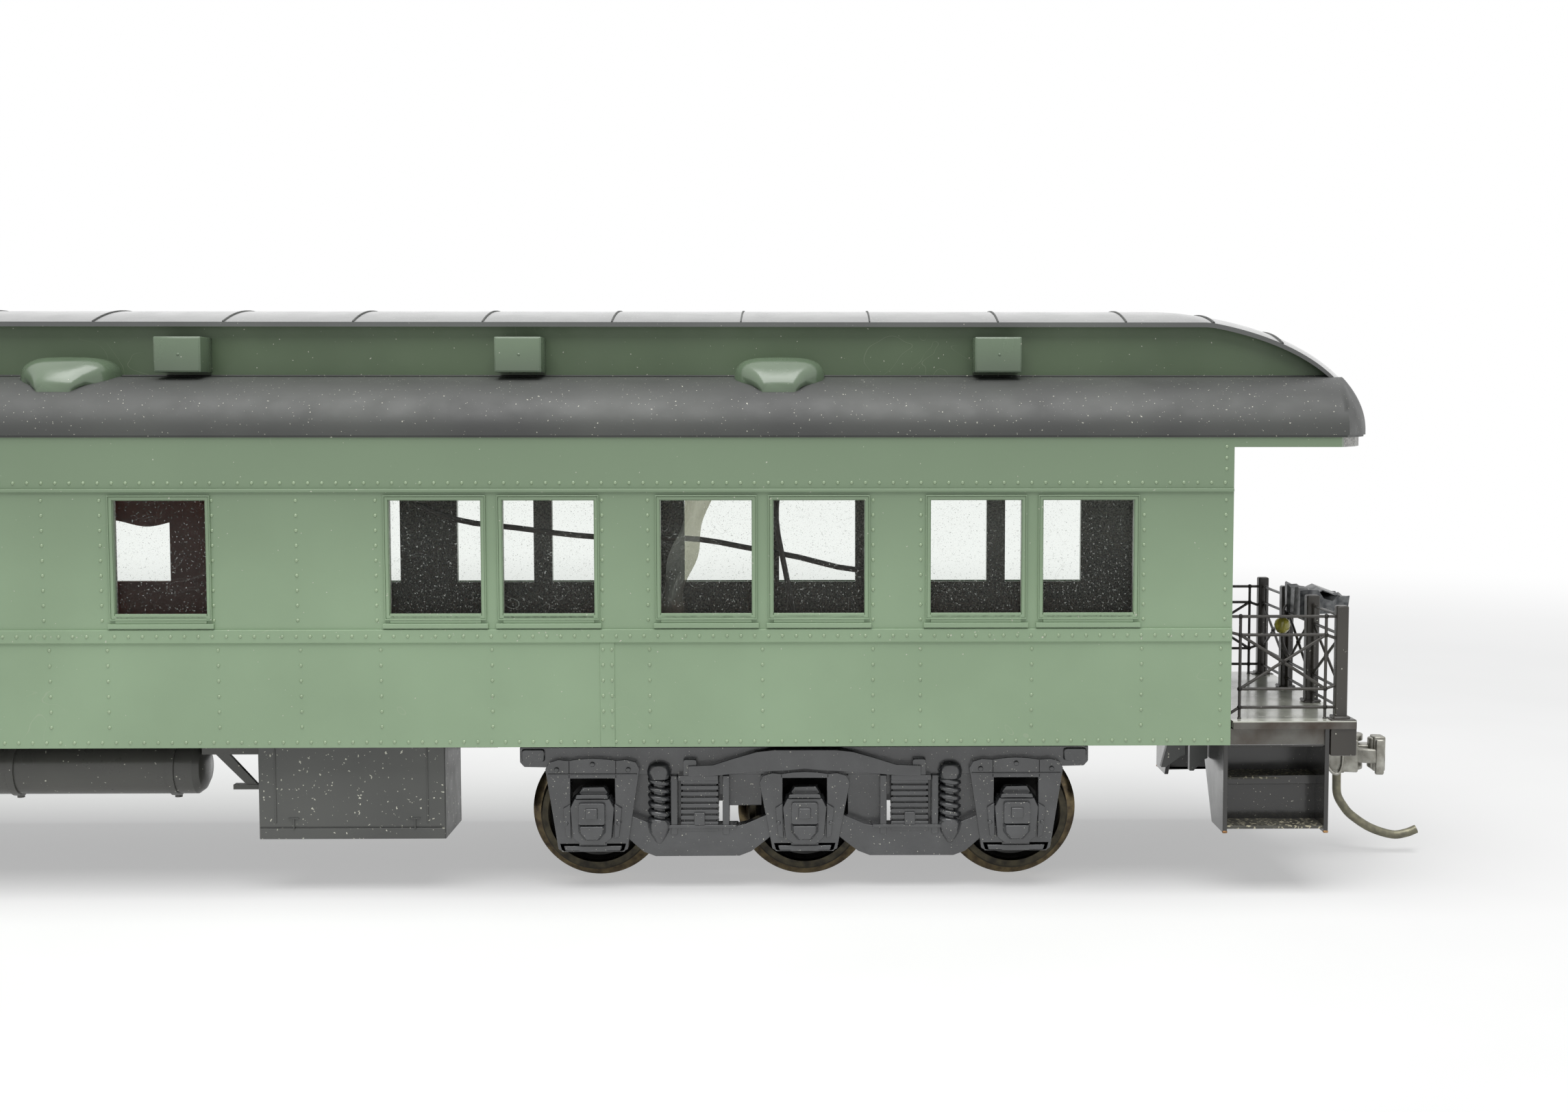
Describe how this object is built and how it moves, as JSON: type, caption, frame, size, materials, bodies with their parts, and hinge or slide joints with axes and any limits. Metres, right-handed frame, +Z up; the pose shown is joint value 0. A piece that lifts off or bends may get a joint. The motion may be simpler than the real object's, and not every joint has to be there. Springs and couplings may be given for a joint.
{
  "type": "model passenger coach",
  "caption": "HO scale model of a heavyweight observation coach with swivelling six-wheel trucks, rolling wheels, sprung couplers and an open railed platform.",
  "frame": {"origin": "below the middle of the whole model, on the surface that the wheel flanges stand on", "axes": "+X along the coach towards the open platform, +Y to the left side when facing +X, +Z up"},
  "size_m": [0.299, 0.0354, 0.0541],
  "materials": {
    "coach_green": "satin dark green paint",
    "roof_black": "satin black paint",
    "underframe_black": "gloss black paint",
    "truck_black": "black paint on a casting",
    "railing_black": "thin black paint on etched metal",
    "clear_glazing": "clear sheet, scratched",
    "interior_brown": "matt red-brown",
    "lead_insulation": "grey insulated wire",
    "spring_brass": "bright",
    "lamp_lens": "yellow-green lens",
    "sign_grey": "dark grey paint",
    "blackened_wheel": "chemically blackened, worn to bronze at the flange",
    "axle_steel": "blackened",
    "trip_pin_steel": "dull",
    "coupler_metal": "bare die-cast metal"
  },
  "bodies": {
    "coach": {"air_reservoir": "underframe_black", "battery_box": "underframe_black", "body_shell": "coach_green", "brake_cylinder": "underframe_black", "end_railing": "railing_black", "front_centring_spring": "spring_brass", "front_coupler_box": "underframe_black", "front_diaphragm": "underframe_black", "front_door": "coach_green", "front_kingpin": "spring_brass", "front_steps_left": "underframe_black", "front_steps_right": "underframe_black", "glazing_left": "clear_glazing", "glazing_right": "clear_glazing", "interior_moulding": "interior_brown", "lighting_lead": "lead_insulation", "platform_deck": "underframe_black", "rear_centring_spring": "spring_brass", "rear_coupler_box": "underframe_black", "rear_door": "coach_green", "rear_kingpin": "spring_brass", "rear_steps_left": "underframe_black", "rear_steps_right": "underframe_black", "roof": "roof_black", "side_railing_left": "railing_black", "side_railing_right": "railing_black", "tail_lamp": "lamp_lens", "tail_sign": "sign_grey", "underframe": "underframe_black"},
    "rear_truck": {"rear_side_frame_left": "truck_black", "rear_side_frame_right": "truck_black", "rear_truck_frame": "truck_black"},
    "rear_outer_wheelset": {"rear_outer_axle": "axle_steel", "rear_outer_wheel_left": "blackened_wheel", "rear_outer_wheel_right": "blackened_wheel"},
    "rear_middle_wheelset": {"rear_middle_axle": "axle_steel", "rear_middle_wheel_left": "blackened_wheel", "rear_middle_wheel_right": "blackened_wheel"},
    "rear_inner_wheelset": {"rear_inner_axle": "axle_steel", "rear_inner_wheel_left": "blackened_wheel", "rear_inner_wheel_right": "blackened_wheel"},
    "rear_coupler": {"rear_coupler_head": "coupler_metal", "rear_trip_pin": "trip_pin_steel"},
    "rear_knuckle": {"rear_knuckle": "coupler_metal"},
    "front_truck": {"front_side_frame_left": "truck_black", "front_side_frame_right": "truck_black", "front_truck_frame": "truck_black"},
    "front_outer_wheelset": {"front_outer_axle": "axle_steel", "front_outer_wheel_left": "blackened_wheel", "front_outer_wheel_right": "blackened_wheel"},
    "front_middle_wheelset": {"front_middle_axle": "axle_steel", "front_middle_wheel_left": "blackened_wheel", "front_middle_wheel_right": "blackened_wheel"},
    "front_inner_wheelset": {"front_inner_axle": "axle_steel", "front_inner_wheel_left": "blackened_wheel", "front_inner_wheel_right": "blackened_wheel"},
    "front_coupler": {"front_coupler_head": "coupler_metal", "front_trip_pin": "trip_pin_steel"},
    "front_knuckle": {"front_knuckle": "coupler_metal"}
  },
  "joints": [
    {"name": "rear_truck_swivel", "type": "hinge", "parent": "coach", "child": "rear_truck", "pos_m": [0.0878, 0, 0.0117], "axis": [0, 0, 1], "range_deg": [-10, 10]},
    {"name": "rear_outer_wheel_spin", "type": "hinge", "parent": "rear_truck", "child": "rear_outer_wheelset", "pos_m": [0.1074, 0, 0.0064], "axis": [0, 1, 0], "continuous": true},
    {"name": "rear_middle_wheel_spin", "type": "hinge", "parent": "rear_truck", "child": "rear_middle_wheelset", "pos_m": [0.0878, 0, 0.0064], "axis": [0, 1, 0], "continuous": true},
    {"name": "rear_inner_wheel_spin", "type": "hinge", "parent": "rear_truck", "child": "rear_inner_wheelset", "pos_m": [0.0682, 0, 0.0064], "axis": [0, 1, 0], "continuous": true},
    {"name": "rear_coupler_swing", "type": "hinge", "parent": "coach", "child": "rear_coupler", "pos_m": [0.1321, 0, 0.0102], "axis": [0, 0, 1], "range_deg": [-13, 13], "stiffness_Nm_per_rad": 0.0004},
    {"name": "rear_knuckle_open", "type": "hinge", "parent": "rear_coupler", "child": "rear_knuckle", "pos_m": [0.143, 0.00115, 0.0102], "axis": [0, 0, 1], "range_deg": [0, 35], "stiffness_Nm_per_rad": 0.0002},
    {"name": "front_truck_swivel", "type": "hinge", "parent": "coach", "child": "front_truck", "pos_m": [-0.0986, 0, 0.0117], "axis": [0, 0, 1], "range_deg": [-10, 10]},
    {"name": "front_outer_wheel_spin", "type": "hinge", "parent": "front_truck", "child": "front_outer_wheelset", "pos_m": [-0.1182, 0, 0.0064], "axis": [0, 1, 0], "continuous": true},
    {"name": "front_middle_wheel_spin", "type": "hinge", "parent": "front_truck", "child": "front_middle_wheelset", "pos_m": [-0.0986, 0, 0.0064], "axis": [0, 1, 0], "continuous": true},
    {"name": "front_inner_wheel_spin", "type": "hinge", "parent": "front_truck", "child": "front_inner_wheelset", "pos_m": [-0.079, 0, 0.0064], "axis": [0, 1, 0], "continuous": true},
    {"name": "front_coupler_swing", "type": "hinge", "parent": "coach", "child": "front_coupler", "pos_m": [-0.1321, 0, 0.0102], "axis": [0, 0, 1], "range_deg": [-13, 13], "stiffness_Nm_per_rad": 0.0004},
    {"name": "front_knuckle_open", "type": "hinge", "parent": "front_coupler", "child": "front_knuckle", "pos_m": [-0.143, -0.00115, 0.0102], "axis": [0, 0, 1], "range_deg": [0, 35], "stiffness_Nm_per_rad": 0.0002}
  ]
}
